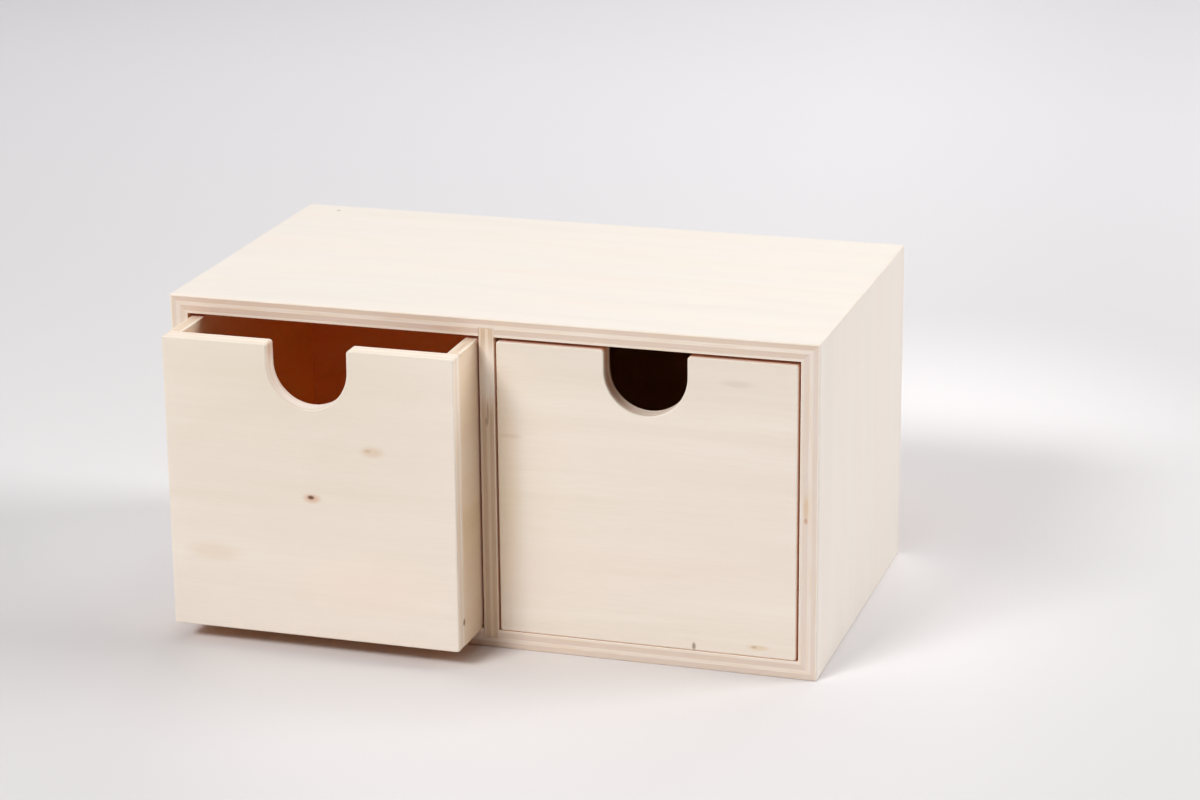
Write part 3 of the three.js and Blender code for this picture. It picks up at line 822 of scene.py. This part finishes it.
# %% [markdown]
# ## Dressing the boards
# A board is one piece of plywood with three looks: its better face, its inner face and its
# edges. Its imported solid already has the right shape, so it is copied, welded and closed up
# instead of being modelled again. The faces could be unwrapped, but four attributes do
# more here: where a point lies in the board, how deep it is in the plies, how far a face
# cuts across the face grain, and whether it is a rounded arris. Real drawers rest on the
# panel under them, while their solids float 0.3 mm above it, so they settle by 0.2 mm.
# %% Dressing the boards
FLAT_ANGLE, SHARP_ANGLE = math.radians(0.6), math.radians(40)
WELD = 0.002 * MM
SKIN = 0.2 * MM
SETTLED = Matrix.Translation((0, 0, -0.2 * MM))
# How squarely a board's face looks along its thickness, and between which two shares of
# that a rounded arris lies. One that looks down gets no rubbing and no painted highlight.
FACE_ON, ARRIS_FROM, ARRIS_TO, LOOKS_DOWN = 0.9, 0.15, 0.95, -0.15
OUTER_FACE, INNER_FACE, EDGE_FACE = 0, 1, 2


def mark_sharp(shape):
    """Smooth faces everywhere, divided by sharp edges wherever two of them fold."""
    shape.normal_update()
    for face in shape.faces:
        face.smooth = True
    for edge in shape.edges:
        edge.smooth = edge.calc_face_angle(math.pi) < SHARP_ANGLE


def closed_up(name, point, brad_lines):
    """Where a point of a board's solid lies once the joints round it are closed."""
    body = BOARDS[name][0]
    point = close_brad_hole(brad_lines, point)
    if name in MITRED:
        point = close_mitre(name, point)
    if name in ("top_panel", "bottom_panel"):
        point = close_housing(name, point)
    if body != "carcass":
        point = close_drawer(name, point)
    return point


def dress(name):
    """Makes a board from a copy of its solid. Returns it and the number of eased edges."""
    body, slot, grain, thick, _, look = BOARDS[name]
    shape = bmesh.new()
    shape.from_mesh(frame["nodes"][name].data)
    bmesh.ops.remove_doubles(shape, verts=shape.verts, dist=WELD)
    bmesh.ops.dissolve_limit(shape, angle_limit=FLAT_ANGLE, verts=shape.verts,
                             edges=shape.edges)
    lines = [brad_line(brad) for brad in BRADS[body]]
    for vertex in shape.verts:
        vertex.co = closed_up(name, vertex.co.copy(), lines)
    shape.normal_update()
    touched = [edge for edge in shape.edges if wants_touch(name, edge)]
    bmesh.ops.bevel(shape, geom=touched, offset=TOUCH, segments=TOUCH_STEPS, profile=0.5,
                    affect="EDGES")
    mark_sharp(shape)

    mesh = bpy.data.meshes.new(f"{name}_board")
    shape.to_mesh(mesh)
    shape.free()
    for material in (*face_veneers(name), EDGES[look]):
        mesh.materials.append(material)
    full = thickness_of(name)
    places = [board_place(name, vertex.co) for vertex in mesh.vertices]
    found = mesh.attributes.new("board_place", "FLOAT_VECTOR", "POINT")
    found.data.foreach_set("vector", [c for place in places for c in place])
    found = mesh.attributes.new("ply_share", "FLOAT", "POINT")
    found.data.foreach_set("value", [place[2] / full for place in places])
    found = mesh.attributes.new("end_share", "FLOAT", "FACE")
    found.data.foreach_set("value", [abs(face.normal[grain]) for face in mesh.polygons])
    found = mesh.attributes.new("arris_share", "FLOAT", "FACE")
    found.data.foreach_set("value", [
        float(ARRIS_FROM < abs(face.normal[thick]) < ARRIS_TO
              and face.normal[Z] > LOOKS_DOWN)
        for face in mesh.polygons])
    for face in mesh.polygons:
        depth = board_place(name, face.center)[2]
        flat = abs(face.normal[thick]) > FACE_ON
        face.material_index = EDGE_FACE
        if flat and depth < SKIN:
            face.material_index = OUTER_FACE
        elif flat and depth > full - SKIN:
            face.material_index = INNER_FACE
    if body in DRAWERS:
        mesh.transform(SETTLED)

    board = bpy.data.objects.new(f"{name}_board", mesh)
    bpy.context.scene.collection.objects.link(board)
    keep_flat = board.modifiers.new("keep_flat", "WEIGHTED_NORMAL")
    keep_flat.keep_sharp = True
    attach(board, body)
    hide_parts(name)
    return board, len(touched)


for name in BOARDS:
    board, touched = dress(name)
    print(board.name, len(board.data.vertices), "vertices,", touched, "edges eased")

# %% [markdown]
# ## Brad steel
# Brads are bright drawn wire: mild steel pulled through a die, with a cut and struck head.
# That gives the eye a neutral grey that is shiny without being a mirror. A painted grey
# would stay the same from every side, so the material is a metal with the default IOR,
# and a fine noise lets its shine vary as on handled steel.
# %% Brad steel
STEEL = "#C3C3C1"
STEEL_ROUGHNESS, WEAR_SPREAD, WEAR_SIZE = 0.36, 0.25, 0.8 * MM

brad_steel, tree = new_material("drawn_mild_steel")
wear = add(tree, "ShaderNodeTexNoise", {
    "Vector": add(tree, "ShaderNodeTexCoord").outputs["Object"], "Scale": 1 / WEAR_SIZE,
    "Detail": 2.0}).outputs[0]
shine = weighted_sum(tree, STEEL_ROUGHNESS, [(wear, WEAR_SPREAD)])
shader = add(tree, "ShaderNodeBsdfPrincipled", {
    "Base Color": (*linear(STEEL), 1), "Metallic": 1.0, "Roughness": shine})
add(tree, "ShaderNodeOutputMaterial", {"Surface": shader.outputs[0]})
print("brads are made of", brad_steel.name)

# %% [markdown]
# ## A tree that sets brads
# Thin wire nails with a small flat head hold the back in its rebate and the corners of the
# drawers. One could be modelled and copied by hand, but twenty alike pins at known places
# are what Geometry Nodes are for: one pin is built from its sizes and set on every point
# of a small mesh that knows which way each head faces. The pin is four round pieces on top
# of one another: the struck rim of the head, the head, the shank and the tip.
# %% A tree that sets brads
BRAD_SIZES = {"Shank Diameter": 1.2 * MM, "Head Diameter": 2.0 * MM,
              "Head Thickness": 0.6 * MM, "Length": 13 * MM, "Tip Length": 1.5 * MM}
BRAD_SIDES = 16
HEAD_CHAMFER = 0.15 * MM

tree = bpy.data.node_groups.new("set_brads", "GeometryNodeTree")
tree.interface.new_socket("Geometry", in_out="INPUT", socket_type="NodeSocketGeometry")
for name in BRAD_SIZES:
    tree.interface.new_socket(name, in_out="INPUT", socket_type="NodeSocketFloat")
tree.interface.new_socket("Geometry", in_out="OUTPUT", socket_type="NodeSocketGeometry")
given = add(tree, "NodeGroupInput").outputs

# Sizes that follow from the given ones: the new size, the sum, and what goes into it.
measure = {name: given[name] for name in BRAD_SIZES}
for name, sum_kind, first, second in (
    ("head radius", "MULTIPLY", "Head Diameter", 0.5),
    ("shank radius", "MULTIPLY", "Shank Diameter", 0.5),
    ("struck radius", "SUBTRACT", "head radius", HEAD_CHAMFER),
    ("plain head", "SUBTRACT", "Head Thickness", HEAD_CHAMFER),
    ("shank top", "SUBTRACT", 0.0, "Head Thickness"),
    ("length below head", "SUBTRACT", "Length", "Head Thickness"),
    ("shank length", "SUBTRACT", "length below head", "Tip Length"),
    ("tip top", "SUBTRACT", "shank top", "shank length"),
):
    measure[name] = add(tree, "ShaderNodeMath", {
        0: measure.get(first, first), 1: measure.get(second, second)},
        operation=sum_kind).outputs[0]

pin = add(tree, "GeometryNodeJoinGeometry")
# radius at the top and at the bottom, height, and how far up the pin the piece begins
for top_radius, bottom_radius, height, top in (
    (measure["struck radius"], measure["head radius"], HEAD_CHAMFER, 0.0),
    (measure["head radius"], measure["head radius"], measure["plain head"], -HEAD_CHAMFER),
    (measure["shank radius"], measure["shank radius"], measure["shank length"],
     measure["shank top"]),
    (measure["shank radius"], 0.0, measure["Tip Length"], measure["tip top"]),
):
    piece = add(tree, "GeometryNodeMeshCone", {
        "Vertices": BRAD_SIDES, "Radius Top": top_radius, "Radius Bottom": bottom_radius,
        "Depth": height})
    foot = add(tree, "ShaderNodeMath", {0: top, 1: height}, operation="SUBTRACT")
    lift = add(tree, "ShaderNodeCombineXYZ", {"Z": foot.outputs[0]})
    piece = add(tree, "GeometryNodeTransform", {"Geometry": piece.outputs["Mesh"],
                                                "Translation": lift.outputs[0]})
    tree.links.new(piece.outputs[0], pin.inputs[0])
facing = add(tree, "GeometryNodeInputNamedAttribute", {"Name": "outward"},
             data_type="FLOAT_VECTOR")
turn = add(tree, "FunctionNodeAlignRotationToVector", {"Vector": facing.outputs[0]}, axis="Z")
on_points = add(tree, "GeometryNodeInstanceOnPoints", {
    "Points": given["Geometry"], "Instance": pin.outputs[0], "Rotation": turn.outputs[0]})
real = add(tree, "GeometryNodeRealizeInstances", {"Geometry": on_points.outputs[0]})
made = add(tree, "GeometryNodeSetMaterial", {"Geometry": real.outputs[0],
                                             "Material": brad_steel})
add(tree, "NodeGroupOutput", {0: made.outputs[0]})
print("the tree has", len(tree.nodes), "nodes and", len(BRAD_SIZES), "sizes")

# %% [markdown]
# ## Setting the brads
# The brads in a drawer slide out with it, and those in the back stay, so each body gets
# one mesh of its own brads. The modifier could stay live, but the export takes plain
# meshes, so its result is taken once and the modifier removed.
# %% Setting the brads
sockets = {item.name: item.identifier for item in tree.interface.items_tree
           if item.in_out == "INPUT"}
for body, names in BRADS.items():
    lines = [brad_line(name) for name in names]
    points = bpy.data.meshes.new(f"{body}_brad_points")
    points.from_pydata([head for head, _ in lines], [], [])
    outward = points.attributes.new("outward", "FLOAT_VECTOR", "POINT")
    outward.data.foreach_set("vector", [c for _, way in lines for c in way])
    brads = bpy.data.objects.new(f"{body}_brads", points)
    bpy.context.scene.collection.objects.link(brads)
    setter = brads.modifiers.new("set_brads", "NODES")
    setter.node_group = tree
    for name, size in BRAD_SIZES.items():
        setter[sockets[name]] = size
    bpy.context.view_layer.update()
    evaluated = brads.evaluated_get(bpy.context.evaluated_depsgraph_get())
    solid = bpy.data.meshes.new_from_object(evaluated)
    brads.modifiers.remove(setter)
    brads.data = solid
    shape = bmesh.new()
    shape.from_mesh(solid)
    mark_sharp(shape)
    shape.to_mesh(solid)
    shape.free()
    if body in DRAWERS:
        solid.transform(SETTLED)
    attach(brads, body)
    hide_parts(*names)
    print(brads.name, len(names), "brads,", len(solid.polygons), "faces")
